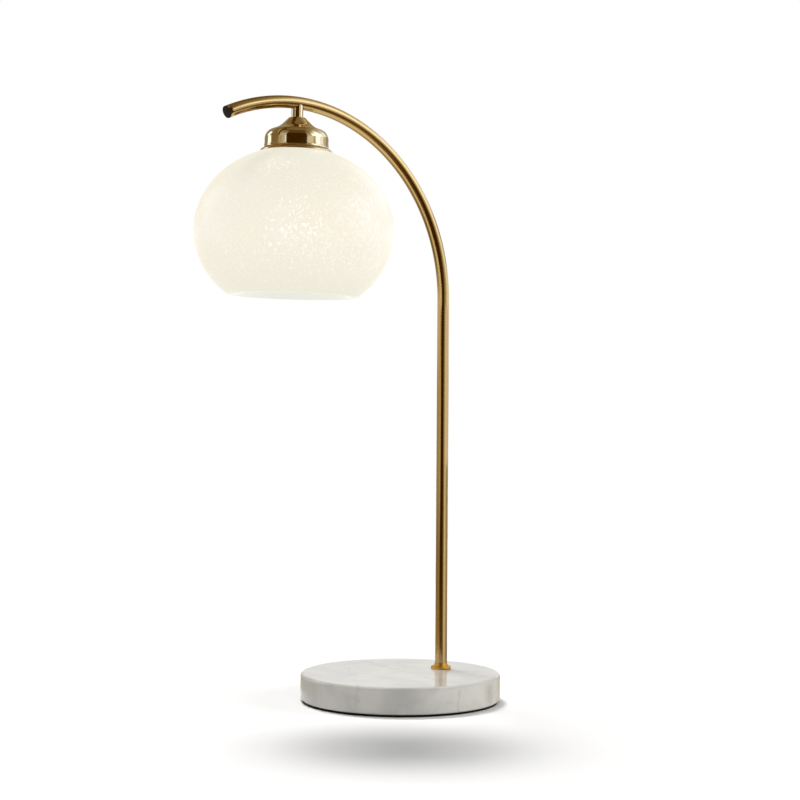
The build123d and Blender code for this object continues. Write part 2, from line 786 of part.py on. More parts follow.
os.makedirs("parts", exist_ok=True)
for name, solids in pieces.items():
    save(name, *solids)
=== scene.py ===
import json
from math import atan2, cos, pi, radians, sin, tau

import bmesh
import bpy
from mathutils import Matrix, Vector


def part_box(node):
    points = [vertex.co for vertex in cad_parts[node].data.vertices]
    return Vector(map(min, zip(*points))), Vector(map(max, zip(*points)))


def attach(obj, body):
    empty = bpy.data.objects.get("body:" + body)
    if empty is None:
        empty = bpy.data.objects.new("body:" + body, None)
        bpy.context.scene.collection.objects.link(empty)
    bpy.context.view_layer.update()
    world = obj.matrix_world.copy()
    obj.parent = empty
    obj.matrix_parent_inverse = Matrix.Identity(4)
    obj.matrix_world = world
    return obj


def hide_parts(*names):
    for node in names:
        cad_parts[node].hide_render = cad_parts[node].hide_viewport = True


# Table lamp with an opal glass globe under a bent brass tube on a marble base. Metres, +Z up.
# The stem and the globe are drawn here; every other piece is the frame's own, with a finish on it.
# The globe hangs from the bend on a tilted axis. Heights on that axis are 0 at the tube's centreline
# and fall towards the shade, and neck_place takes them to where the frame has them.

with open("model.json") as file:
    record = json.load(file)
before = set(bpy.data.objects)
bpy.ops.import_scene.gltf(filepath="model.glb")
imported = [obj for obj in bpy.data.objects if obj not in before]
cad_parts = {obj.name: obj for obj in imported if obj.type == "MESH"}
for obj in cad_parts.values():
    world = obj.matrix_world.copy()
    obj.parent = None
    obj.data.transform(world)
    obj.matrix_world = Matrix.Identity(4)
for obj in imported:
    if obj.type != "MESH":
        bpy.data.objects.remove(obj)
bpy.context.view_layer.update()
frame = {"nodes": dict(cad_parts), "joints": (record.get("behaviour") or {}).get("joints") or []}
MM = 0.001
SEAM = 0.001 * MM

# ---- places and sizes read from the frame ----
stem_low, stem_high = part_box("stem_tube")
globe_low, globe_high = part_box("glass_globe")
tube_radius = (stem_high.y - stem_low.y) / 2
stem_x = stem_high.x - tube_radius
globe_radius = (globe_high.y - globe_low.y) / 2

turn_joint = next(joint for joint in frame["joints"] if joint["name"] == "bulb_turn")
neck_point = Vector(turn_joint["pos_m"])
neck_down = Vector(turn_joint["axis"]).normalized()
neck_place = (Matrix.Translation(neck_point)
              @ Matrix.Rotation(atan2(-neck_down.x, -neck_down.z), 4, "Y"))


def lowest_below_neck(node):
    """Height of a node's lowest point on the hanging axis."""
    vertices = frame["nodes"][node].data.vertices
    return -max((vertex.co - neck_point).dot(neck_down) for vertex in vertices)


# ---- sizes of the pieces that are drawn here ----
bend_start = 335.0 * MM
bend_radius = stem_high.z - tube_radius - bend_start
bend_angle = radians(113.7)
tube_wall = 1.0 * MM
globe_half_height = 67.7 * MM
globe_cut = 51.4 * MM
globe_wall = 3.0 * MM
globe_hole_radius = 21.0 * MM
globe_rim_rounding = 0.9 * MM
globe_line_points = 57
globe_centre = lowest_below_neck("glass_globe") + globe_cut
globe_glow_height = (globe_low.z + globe_high.z) / 2 - 2.0 * MM

# ---- the camera, fitted to the photograph ----
CAMERA_PLACE = Vector((-0.962, -1.284, 0.263))
CAMERA_TURN = radians(-36.783)
CAMERA_DIP = radians(0.44)
CAMERA_ROLL = radians(0.36)
CAMERA_LENS = 86.7
SENSOR_WIDTH = 36.0


# ---- helpers: node trees ----
class Socket:
    """A node output that takes part in plain arithmetic inside its tree."""

    def __init__(self, tree, output):
        self.tree = tree
        self.output = output

    def math(self, operation, *values):
        node = self.tree.nodes.new("ShaderNodeMath")
        node.operation = operation
        for slot, value in zip(node.inputs, (self, *values)):
            feed(self.tree, slot, value)
        return Socket(self.tree, node.outputs[0])

    def __add__(self, other):
        return self.math("ADD", other)

    def __sub__(self, other):
        return self.math("SUBTRACT", other)

    def __mul__(self, other):
        return self.math("MULTIPLY", other)

    def __truediv__(self, other):
        return self.math("DIVIDE", other)

    def reversed_from(self, total):
        """A total less this value."""
        return self.math("MULTIPLY", -1.0).math("ADD", total)

    def sin(self):
        return self.math("SINE")

    def cos(self):
        return self.math("COSINE")

    def least(self, other):
        return self.math("MINIMUM", other)

    def most(self, other):
        return self.math("MAXIMUM", other)


def feed(tree, slot, value):
    """Set a node's input to a plain value, or link it to a socket."""
    if isinstance(value, Socket):
        tree.links.new(value.output, slot)
    else:
        slot.default_value = value


class Recipe:
    """A geometry node tree with named inputs, run once on one mesh object."""

    def __init__(self, name):
        self.tree = bpy.data.node_groups.new(name, "GeometryNodeTree")
        for way in ("INPUT", "OUTPUT"):
            self.tree.interface.new_socket("Geometry", in_out=way, socket_type="NodeSocketGeometry")
        self.entry = self.tree.nodes.new("NodeGroupInput")
        self.exit = self.tree.nodes.new("NodeGroupOutput")
        self.values = {}

    def ask(self, name, value):
        """Add a named input, whole or real as its value is, and return its socket."""
        kind = "NodeSocketInt" if isinstance(value, int) else "NodeSocketFloat"
        item = self.tree.interface.new_socket(name, in_out="INPUT", socket_type=kind)
        self.values[item.identifier] = value
        return Socket(self.tree, self.entry.outputs[name])

    def node(self, kind, settings=None, **inputs):
        """Add a node, set its options and feed its inputs by name."""
        made = self.tree.nodes.new(kind)
        for key, value in (settings or {}).items():
            setattr(made, key, value)
        for name, value in inputs.items():
            feed(self.tree, made.inputs[name.replace("_", " ")], value)
        return made

    def out(self, node, output=0):
        return Socket(self.tree, node.outputs[output])

    def vector(self, x, y, z):
        return self.out(self.node("ShaderNodeCombineXYZ", X=x, Y=y, Z=z))

    def sheet(self, columns, rows):
        """A grid of points with its column and row numbers, counted from 0."""
        grid = self.out(self.node("GeometryNodeMeshGrid", Vertices_X=columns + 1, Vertices_Y=rows + 1))
        place = self.out(self.node("GeometryNodeInputPosition"))
        split = self.node("ShaderNodeSeparateXYZ", Vector=place)
        column, row = [((self.out(split, axis) + 0.5) * count).math("ROUND")
                       for axis, count in enumerate((columns, rows))]
        return grid, column, row

    def store(self, geometry, name, value):
        """Keep a vector on the points as a named attribute."""
        settings = {"data_type": "FLOAT_VECTOR", "domain": "POINT"}
        made = self.node("GeometryNodeStoreNamedAttribute", settings, Geometry=geometry, Name=name)
        feed(self.tree, made.inputs["Value"], value)
        return self.out(made)

    def move(self, geometry, position):
        return self.out(self.node("GeometryNodeSetPosition", Geometry=geometry, Position=position))

    def serve(self, geometry, material):
        """Close the seams, finish the tree, and return the object that carries it."""
        joined = self.out(self.node("GeometryNodeMergeByDistance", Geometry=geometry, Distance=SEAM))
        smooth = self.out(self.node("GeometryNodeSetShadeSmooth", Geometry=joined))
        real = self.out(self.node("GeometryNodeRealizeInstances", Geometry=smooth))
        dressed = self.out(self.node("GeometryNodeSetMaterial", Geometry=real, Material=material))
        self.tree.links.new(dressed.output, self.exit.inputs[0])
        host = bpy.data.objects.new(self.tree.name + "_host", bpy.data.meshes.new(self.tree.name))
        bpy.context.scene.collection.objects.link(host)
        modifier = host.modifiers.new("recipe", "NODES")
        modifier.node_group = self.tree
        for identifier, value in self.values.items():
            modifier[identifier] = value
        return host


def plain_mesh(host, name, place=None):
    """Turn an object with modifiers into a plain mesh object of the given name, set in place."""
    evaluated = host.evaluated_get(bpy.context.evaluated_depsgraph_get())
    mesh = bpy.data.meshes.new_from_object(evaluated)
    mesh.name = name
    if place is not None:
        mesh.transform(place)
    piece = bpy.data.objects.new(name, mesh)
    bpy.context.scene.collection.objects.link(piece)
    bpy.data.objects.remove(host)
    return piece


def dress(piece, body, slot, *nodes):
    """Say what a finished piece rides on and the nodes it stands for; the finish it is given is not
    used.
    """
    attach(piece, body)
    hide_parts(*nodes)


# ---- helpers: finishes ----
class Finish:
    """A material round one Principled shader, with its patterns on Object coordinates."""

    def __init__(self, name, **settings):
        self.material = bpy.data.materials.new(name)
        self.material.use_nodes = True
        self.tree = self.material.node_tree
        self.shader = self.tree.nodes["Principled BSDF"]
        place = self.tree.nodes.new("ShaderNodeTexCoord")
        self.place = Socket(self.tree, place.outputs["Object"])
        for key, value in settings.items():
            self.shader.inputs[key.replace("_", " ")].default_value = value

    def use(self, key, value):
        """Feed one of the shader's inputs from a pattern."""
        feed(self.tree, self.shader.inputs[key], value)
        return self

    def kept(self, attribute):
        """An attribute that the piece was made with."""
        node = self.tree.nodes.new("ShaderNodeAttribute")
        node.attribute_name = attribute
        return Socket(self.tree, node.outputs["Vector"])

    def from_spot(self, spot):
        """Distance from a spot on the piece, in metres."""
        node = self.tree.nodes.new("ShaderNodeVectorMath")
        node.operation = "DISTANCE"
        feed(self.tree, node.inputs[0], self.place)
        node.inputs[1].default_value = spot
        return Socket(self.tree, node.outputs["Value"])

    def from_height(self, height):
        """Height above a level, in metres."""
        node = self.tree.nodes.new("ShaderNodeSeparateXYZ")
        feed(self.tree, node.inputs[0], self.place)
        return Socket(self.tree, node.outputs[2]) - height

    def from_sheet(self, turn, offset):
        """Distance from an upright sheet that faces a turn and lies at an offset from the axis."""
        split = self.tree.nodes.new("ShaderNodeSeparateXYZ")
        feed(self.tree, split.inputs[0], self.place)
        x, y = (Socket(self.tree, split.outputs[axis]) for axis in (0, 1))
        return x * cos(turn) + y * sin(turn) - offset

    def stretched(self, x, y, z, turn=(0.0, 0.0, 0.0)):
        """The pattern's place, scaled and turned along each axis."""
        node = self.tree.nodes.new("ShaderNodeMapping")
        feed(self.tree, node.inputs["Vector"], self.place)
        node.inputs["Scale"].default_value = (x, y, z)
        node.inputs["Rotation"].default_value = turn
        return Socket(self.tree, node.outputs[0])

    def noise(self, scale, detail=2.0, roughness=0.5, distortion=0.0, place=None):
        """Soft noise from 0 to 1, with its scale in features per metre."""
        node = self.tree.nodes.new("ShaderNodeTexNoise")
        feed(self.tree, node.inputs["Vector"], place or self.place)
        for key, value in (("Scale", scale), ("Detail", detail), ("Roughness", roughness),
                           ("Distortion", distortion)):
            node.inputs[key].default_value = value
        return Socket(self.tree, node.outputs["Fac"])

    def cells(self, scale, place=None):
        """Distance to the nearest of many scattered points."""
        node = self.tree.nodes.new("ShaderNodeTexVoronoi")
        feed(self.tree, node.inputs["Vector"], place or self.place)
        node.inputs["Scale"].default_value = scale
        return Socket(self.tree, node.outputs["Distance"])

    def between(self, pattern, low, high, at=(0.3, 0.7)):
        """A number that goes from low to high with the pattern."""
        node = self.tree.nodes.new("ShaderNodeMapRange")
        for slot, value in zip(node.inputs, (pattern, *at, low, high)):
            feed(self.tree, slot, value)
        return Socket(self.tree, node.outputs[0])

    def colours(self, pattern, low, high, at=(0.3, 0.7)):
        """A colour that goes from low to high with the pattern."""
        node = self.tree.nodes.new("ShaderNodeValToRGB")
        feed(self.tree, node.inputs[0], pattern)
        for stop, place, colour in zip(node.color_ramp.elements, at, (low, high)):
            stop.position = place
            stop.color = (*colour, 1.0)
        return Socket(self.tree, node.outputs[0])

    def blend(self, share, first, second):
        """First colour where the share is 0, second where it is 1."""
        node = self.tree.nodes.new("ShaderNodeMix")
        node.data_type = "RGBA"
        for slot, value in ((0, share), (6, first), (7, second)):
            plain = isinstance(value, tuple)
            feed(self.tree, node.inputs[slot], (*value, 1.0) if plain else value)
        return Socket(self.tree, node.outputs[2])

    def relief(self, pattern, height, strength=1.0):
        """Bump by a pattern, with its height in metres."""
        node = self.tree.nodes.new("ShaderNodeBump")
        node.inputs["Strength"].default_value = strength
        node.inputs["Distance"].default_value = height
        feed(self.tree, node.inputs["Height"], pattern)
        feed(self.tree, self.shader.inputs["Normal"], Socket(self.tree, node.outputs[0]))
        return self


# ---- finishes of the metal pieces ----
def brushed_brass():
    """Lacquered antique brass of the stem, brushed round the tube."""
    finish = Finish("brushed_brass", Metallic=1.0)
    finish.place = finish.kept("grain")
    lines = finish.noise(1.0, detail=3.0, roughness=0.6)
    finish.use("Base Color", finish.colours(lines, (0.58, 0.405, 0.175), (0.68, 0.485, 0.225)))
    finish.use("Roughness", finish.between(lines, 0.12, 0.17))
    return finish.relief(lines, 0.02 * MM, 0.2).material


def polished_brass(name, dark, light, roughness):
    """Polished and lacquered sheet or bar, slightly uneven in its shine."""
    finish = Finish(name, Metallic=1.0)
    cloud = finish.noise(160.0, detail=3.0)
    finish.use("Base Color", finish.colours(cloud, dark, light))
    finish.use("Roughness", finish.between(cloud, roughness, roughness + 0.05))
    wave = finish.noise(320.0, detail=1.0)
    return finish.relief(wave, 0.06 * MM, 0.35).material


def bare_metal(name, dark, light, roughness):
    """Turned or stamped metal inside the lamp."""
    finish = Finish(name, Metallic=1.0)
    marks = finish.noise(900.0, detail=2.0, place=finish.stretched(1.0, 1.0, 4.0))
    finish.use("Base Color", finish.colours(marks, dark, light))
    finish.use("Roughness", finish.between(marks, roughness, roughness + 0.12))
    return finish.relief(marks, 0.02 * MM, 0.3).material


# ---- finishes of the stone, glass and plastic pieces ----
# Veins of the marble run up through the slab as upright sheets: for each the way that it faces in
# radians, its offset from the base's axis, its width and how dark it is.
MARBLE_VEINS = (
    (-0.13, 7.3 * MM, 1.6 * MM, 0.45),
    (0.60, 4.1 * MM, 1.5 * MM, 0.6),
    (0.28, 33.0 * MM, 2.0 * MM, 0.3),
    (-0.55, -42.0 * MM, 1.7 * MM, 0.3),
    (1.25, -30.0 * MM, 1.4 * MM, 0.25),
)
VEIN_WANDER = 34.0 * MM

# Painted shade on the front of the slab's side, as darker spots: the middle of each and its reach.
MARBLE_SHADE_SPOTS = (
    ((-0.048, -0.068, 0.008), 22.0 * MM),
    ((0.034, -0.076, 0.013), 11.0 * MM),
)
SHADE_SPOT_DEPTH = 0.75


def veined_marble():
    """Polished white marble with soft grey clouds, a few fine veins and painted shade on its front."""
    finish = Finish("veined_marble", Roughness=0.13, Specular_IOR_Level=0.32, IOR=1.5)
    cloud = finish.noise(17.0, detail=3.0, distortion=0.8)
    stone = finish.colours(cloud, (0.64, 0.625, 0.585), (0.545, 0.54, 0.525), at=(0.38, 0.66))
    warm = finish.noise(9.0, detail=2.0)
    stone = finish.blend(finish.between(warm, 0.0, 0.5, at=(0.5, 0.7)), stone, (0.67, 0.64, 0.565))
    patch = finish.noise(34.0, detail=5.0, roughness=0.55, distortion=0.7,
                         place=finish.stretched(1.0, 0.8, 1.5, turn=(0.0, 0.3, 0.5)))
    stone = finish.blend(finish.between(patch, 0.0, 0.45, at=(0.55, 0.75)), stone, (0.42, 0.41, 0.405))
    # Painted shade: each spot darkens the stone towards its middle, broken up by the patches.
    for spot, reach in MARBLE_SHADE_SPOTS:
        shadow = finish.between(finish.from_spot(spot), SHADE_SPOT_DEPTH, 0.0, at=(0.0, reach))
        stone = finish.blend(shadow * finish.between(patch, 0.2, 1.0, at=(0.35, 0.6)), stone,
                             (0.38, 0.365, 0.36))
    wander = finish.noise(24.0, detail=6.0, roughness=0.66)
    breaks = finish.noise(60.0, detail=2.0)
    for turn, offset, width, depth in MARBLE_VEINS:
        sheet = finish.from_sheet(turn, offset) + (wander - 0.5) * VEIN_WANDER
        line = finish.between(sheet.math("ABSOLUTE"), depth, 0.0, at=(0.0, width))
        stone = finish.blend(line * finish.between(breaks, 0.2, 1.0, at=(0.4, 0.6)), stone,
                             (0.36, 0.35, 0.34))
    grain = finish.noise(420.0, detail=2.0)
    stone = finish.blend(finish.between(grain, 0.0, 0.06), stone, (0.45, 0.45, 0.44))
    finish.use("Base Color", stone)
    return finish.relief(grain, 0.01 * MM, 0.15).material


def foam_pad():
    """Black closed-cell foam under the marble."""
    finish = Finish("foam_pad", Roughness=0.95, Specular_IOR_Level=0.1)
    cells = finish.cells(1400.0)
    finish.use("Base Color", finish.colours(cells, (0.004, 0.004, 0.004), (0.013, 0.013, 0.013)))
    return finish.relief(cells, 0.12 * MM, 0.6).material


# The bulb's light is painted on as the globe's glow. It is even within the first distance of the
# bulb's height, and has fallen off by the second.
GLOW_STRENGTH = 0.86
GLOW_REACH = (12.0 * MM, 60.0 * MM)
FLECK_CLEARNESS = 0.9


def opal_glass():
    """Satin opal glass with the bulb's light painted on as an even glow, and flecks that let more of
    the bulb through.
    """
    finish = Finish("opal_glass", Roughness=0.30, IOR=1.45, Specular_IOR_Level=0.12,
                    Emission_Strength=GLOW_STRENGTH)
    haze = finish.noise(22.0, detail=2.0)
    body = finish.colours(haze, (0.10, 0.098, 0.088), (0.12, 0.118, 0.108))
    glow = finish.colours(haze, (1.0, 0.915, 0.765), (0.975, 0.93, 0.81))
    # Painted light: the glow fades away from the bulb's height.
    far = finish.between(finish.from_height(globe_glow_height).math("ABSOLUTE"), 0.0, 1.0,
                         at=GLOW_REACH)
    glow = finish.blend(far, glow, (0.86, 0.835, 0.705))
    # Painted shade: the inner wall glows duller than the outside.
    glow = finish.blend(finish.kept("inside"), glow, (0.825, 0.835, 0.76))
    finish.place = finish.kept("skin")
    crackle = finish.noise(30.0, detail=3.0, roughness=0.7, distortion=0.6,
                           place=finish.stretched(1.3, 1.3, 0.75))
    flecks = finish.between(crackle, 0.0, FLECK_CLEARNESS, at=(0.52, 0.66))
    flecks = flecks * far.reversed_from(1.0)
    finish.use("Base Color", finish.blend(flecks, body, (0.95, 0.94, 0.90)))
    finish.use("Emission Color", finish.blend(flecks, glow, (0.0, 0.0, 0.0)))
    finish.use("Transmission Weight", flecks)
    return finish.relief(crackle, 0.05 * MM, 0.1).material


def frosted_glass():
    """Bulb glass with a fine white frosting inside."""
    finish = Finish("frosted_glass", Roughness=0.35, IOR=1.45,
                    Emission_Color=(1.0, 0.93, 0.78, 1.0), Emission_Strength=1.4)
    frost = finish.noise(700.0, detail=2.0)
    finish.use("Base Color", finish.colours(frost, (0.84, 0.83, 0.80), (0.92, 0.91, 0.88)))
    return finish.relief(frost, 0.02 * MM, 0.2).material


def clear_glass():
    """Drawn clear glass of the bulb's mount."""
    finish = Finish("clear_glass", IOR=1.5, Transmission_Weight=0.9, Specular_IOR_Level=0.5)
    streak = finish.noise(250.0, place=finish.stretched(3.0, 3.0, 0.5))
    finish.use("Base Color", finish.colours(streak, (0.86, 0.90, 0.88), (0.95, 0.97, 0.96)))
    finish.use("Roughness", finish.between(streak, 0.02, 0.08))
    return finish.material


def moulded(name, dark, light, roughness, grain=650.0):
    """Moulded, pressed or fired piece with a fine grain."""
    finish = Finish(name, Specular_IOR_Level=0.3)
    skin = finish.noise(grain, detail=3.0)
    finish.use("Base Color", finish.colours(skin, dark, light))
    finish.use("Roughness", finish.between(skin, roughness, roughness + 0.1))
    return finish.relief(skin, 0.03 * MM, 0.35).material


def glowing_phosphor():
    """Yellow coating of the filament rods."""
    finish = Finish("glowing_phosphor", Roughness=0.6,
                    Emission_Color=(1.0, 0.82, 0.5, 1.0), Emission_Strength=1.0)
    grain = finish.noise(2500.0)
    finish.use("Base Color", finish.colours(grain, (0.80, 0.58, 0.14), (0.92, 0.72, 0.22)))
    return finish.relief(grain, 0.02 * MM, 0.4).material


# ---- the bent stem ----
def bent_stem():
    """Tube swept up the stem and round the bend by rule, with its grain kept as an attribute."""
    recipe = Recipe("bent_brass_tube")
    foot_x = recipe.ask("Foot X", stem_x)
    foot_z = recipe.ask("Foot Z", stem_low.z)
    rise = recipe.ask("Straight Length", bend_start - stem_low.z)
    radius = recipe.ask("Bend Radius", bend_radius)
    angle = recipe.ask("Bend Angle", bend_angle)
    girth = recipe.ask("Tube Radius", tube_radius)
    pitch = recipe.ask("Grain Pitch", 0.35 * MM)
    steps = recipe.ask("Steps Along", 200)
    sides = recipe.ask("Steps Around", 64)

    grid, column, row = recipe.sheet(steps, sides)
    along = column / steps * (rise + radius * angle)
    turn = (along - rise).most(0.0) / radius
    around = row / sides * -tau
    outward = girth * around.cos()
    reach = radius + outward
    position = recipe.vector(
        foot_x - radius + reach * turn.cos(),
        girth * around.sin(),
        foot_z + along.least(rise) + reach * turn.sin())
    grain = recipe.vector(along / pitch, around.cos() * 2.0, around.sin() * 2.0)
    marked = recipe.store(grid, "grain", grain)
    host = recipe.serve(recipe.move(marked, position), brushed_brass())
    wall = host.modifiers.new("wall", "SOLIDIFY")
    wall.thickness = tube_wall
    wall.offset = -1.0
    return plain_mesh(host, "brushed_stem")


# ---- the opal globe ----
def opal_globe():
    """Ellipsoid wall turned by rule: up its outside from the mouth to the hole, and back inside."""
    recipe = Recipe("opal_globe_wall")
    girth = recipe.ask("Radius", globe_radius)
    half_height = recipe.ask("Half Height", globe_half_height)
    wall = recipe.ask("Wall", globe_wall)
    cut = recipe.ask("Cut Below Centre", globe_cut)
    hole = recipe.ask("Hole Radius", globe_hole_radius)
    sides = recipe.ask("Steps Around", 144)
    points = recipe.ask("Points Per Side", globe_line_points)

    grid, column, row = recipe.sheet(sides, points * 2)
    loop = row.math("FLOORED_MODULO", points * 2)
    inside = loop.math("LESS_THAN", points).reversed_from(1.0)
    outer_share = loop / (points - 1)
    inner_share = (points * 2 - 1 - loop) / (points - 1)
    share = outer_share + inside * (inner_share - outer_share)
    wide = girth - wall * inside
    tall = half_height - wall * inside
    mouth_angle = (cut / tall).math("ARCSINE") * -1.0
    hole_angle = (hole / wide).math("ARCCOSINE")
    height_angle = mouth_angle + (hole_angle - mouth_angle) * share
    around = column / sides * tau
    reach = wide * height_angle.cos()
    position = recipe.vector(reach * around.cos(), reach * around.sin(), tall * height_angle.sin())
    level = height_angle.cos()
    skin = recipe.vector(level * around.cos(), level * around.sin(), height_angle.sin())
    marked = recipe.store(grid, "inside", recipe.vector(inside, inside, inside))
    marked = recipe.store(marked, "skin", skin)
    host = recipe.serve(recipe.move(marked, position), opal_glass())
    rim = host.modifiers.new("rims", "BEVEL")
    rim.width = globe_rim_rounding
    rim.segments = 3
    rim.limit_method = "ANGLE"
    rim.angle_limit = radians(35.0)
    place = neck_place @ Matrix.Translation((0.0, 0.0, globe_centre))
    return plain_mesh(host, "opal_globe", place)


# ---- finishes on the frame's own pieces ----
def paint(node, material):
    """Give one of the frame's pieces its finish, in every slot."""
    mesh = frame["nodes"][node].data
    mesh.materials.clear()
    mesh.materials.append(material)


def paint_frame():
    bright_brass = polished_brass("bright_brass", (0.71, 0.575, 0.37), (0.77, 0.63, 0.41), 0.09)
    golden_brass = polished_brass("golden_brass", (0.80, 0.47, 0.08), (0.90, 0.56, 0.12), 0.38)
    turned_brass = bare_metal("turned_brass", (0.70, 0.52, 0.24), (0.82, 0.64, 0.33), 0.20)
    zinc = bare_metal("zinc_steel", (0.52, 0.53, 0.55), (0.68, 0.69, 0.71), 0.26)
    nickel = bare_metal("nickel_plate", (0.62, 0.61, 0.58), (0.78, 0.77, 0.74), 0.16)
    black_phenolic = moulded("black_phenolic", (0.016, 0.015, 0.014), (0.030, 0.028, 0.026), 0.30)
    black_plastic = moulded("black_plastic", (0.005, 0.005, 0.005), (0.011, 0.011, 0.011), 0.45)
    white_nylon = moulded("white_nylon", (0.78, 0.78, 0.75), (0.86, 0.86, 0.84), 0.45)
    steatite = moulded("steatite", (0.74, 0.71, 0.64), (0.85, 0.82, 0.75), 0.60)
    brown_lead = moulded("brown_insulation", (0.17, 0.07, 0.03), (0.24, 0.11, 0.05), 0.40)
    blue_lead = moulded("blue_insulation", (0.03, 0.10, 0.38), (0.06, 0.16, 0.50), 0.40)
    silicone = moulded("white_silicone", (0.70, 0.70, 0.67), (0.80, 0.80, 0.78), 0.50)
    black_glass = moulded("black_glass", (0.012, 0.012, 0.016), (0.028, 0.028, 0.034), 0.10)
    finishes = {
        veined_marble(): ["marble_base"],
        foam_pad(): ["base_pad"],
        bright_brass: ["neck_sleeve", "gallery_cup"],
        golden_brass: ["foot_collar"],
        turned_brass: ["foot_nipple", "neck_nipple", "cup_nut", "block_inserts", "centre_contact",
                       "screw_shell"],
        zinc: ["foot_washer", "foot_lock_washer", "foot_nut", "cup_washer", "block_screws",
               "carrier_screws", "filament_frame"],
        nickel: ["bulb_cap", "bulb_contact"],
        black_phenolic: ["holder_cap", "holder_body", "shade_ring"],
        black_plastic: ["end_plug", "cord_gland"],
        white_nylon: ["terminal_block"],
        steatite: ["contact_carrier"],
        brown_lead: ["lead_line"],
        blue_lead: ["lead_neutral"],
        silicone: ["shade_gasket"],
        frosted_glass(): ["bulb_envelope"],
        clear_glass(): ["bulb_stem"],
        black_glass: ["bulb_insulator"],
        glowing_phosphor(): ["bulb_filaments"],
    }
    for material, nodes in finishes.items():
        for node in nodes:
            paint(node, material)


# ---- studio ----
SKY_FILL = 0.25
FLOOR_RADIUS = 12.0
FLOOR_SHADE = 0.96
FLOOR_SIDES = 96

# Wide lights: the way towards each, how wide it is in degrees, its strength and its colour.
LIGHTS = {
    "back_left_light": ((-0.01, 0.447, 0.91), 14.0, 1.08, (1.0, 0.99, 0.975)),
    "back_right_light": ((0.09, 0.373, 0.91), 14.0, 1.08, (1.0, 0.99, 0.975)),
    "right_light": ((0.74, -0.62, 0.29), 40.0, 1.35, (0.985, 0.99, 1.0)),
    "front_light": ((-0.28, -0.78, 0.57), 60.0, 0.42, (1.0, 0.985, 0.96)),
}


def ray_share(tree, *kinds):
    """1 for rays of the named kinds, 0 for the rest."""
    paths = tree.nodes.new("ShaderNodeLightPath")
    shares = [Socket(tree, paths.outputs[f"Is {kind} Ray"]) for kind in kinds]
    total = shares[0]
    for share in shares[1:]:
        total = total.most(share)
    return total


def bare_material(mesh, name):
    """Give a mesh a new material and return its emptied node tree."""
    material = bpy.data.materials.new(name)
    material.use_nodes = True
    material.node_tree.nodes.clear()
    mesh.materials.append(material)
    return material.node_tree


def set_world(fill):
    """White to the camera, in gloss and through glass, and a plain fill for the rest."""
    world = bpy.data.worlds.new("studio")
    world.use_nodes = True
    bpy.context.scene.world = world
    sky = world.node_tree.nodes["Background"]
    sky.inputs["Color"].default_value = (1.0, 1.0, 1.0, 1.0)
    seen = ray_share(world.node_tree, "Camera", "Glossy", "Transmission")
    feed(world.node_tree, sky.inputs["Strength"], seen * (1.0 - fill) + fill)


def pale_floor(radius, shade):
    """Wide white floor that keeps the lamp's soft shadow, and is clear from below."""
    mesh = bpy.data.meshes.new("floor")
    shape = bmesh.new()
    bmesh.ops.create_circle(shape, cap_ends=True, segments=FLOOR_SIDES, radius=radius)
    shape.to_mesh(mesh)
    shape.free()
    floor = bpy.data.objects.new("floor", mesh)
    bpy.context.scene.collection.objects.link(floor)
    tree = bare_material(mesh, "pale_floor")
    matte = tree.nodes.new("ShaderNodeBsdfDiffuse")
    matte.inputs["Color"].default_value = (shade, shade, shade, 1.0)
    below = tree.nodes.new("ShaderNodeNewGeometry")
    clear = tree.nodes.new("ShaderNodeBsdfTransparent")
    both = tree.nodes.new("ShaderNodeMixShader")
    tree.links.new(below.outputs["Backfacing"], both.inputs[0])
    tree.links.new(matte.outputs[0], both.inputs[1])
    tree.links.new(clear.outputs[0], both.inputs[2])
    surface = tree.nodes.new("ShaderNodeOutputMaterial")
    tree.links.new(both.outputs[0], surface.inputs["Surface"])


LAMP_AXIS = Vector((-30.0 * MM, 0.0, 0.0))
STEM_AXIS = Vector((stem_x, 0.0, 0.0))
PANEL_STEP = radians(3.0)

# Tones of the cards round the lamp, from dark brown cloth to a bright cool window.
NIGHT = (0.05, 0.02, 0.0)
DARK = (0.12, 0.07, 0.02)
BROWN = (0.24, 0.17, 0.07)
TAN = (0.34, 0.28, 0.16)
STONE = (0.40, 0.38, 0.32)
SAND = (0.50, 0.43, 0.27)
PALE = (0.62, 0.58, 0.48)
CREAM = (0.82, 0.78, 0.68)
WHITE = (0.90, 0.90, 0.90)
DAY = (1.1, 1.2, 1.35)
WINDOW = (1.6, 1.8, 2.1)

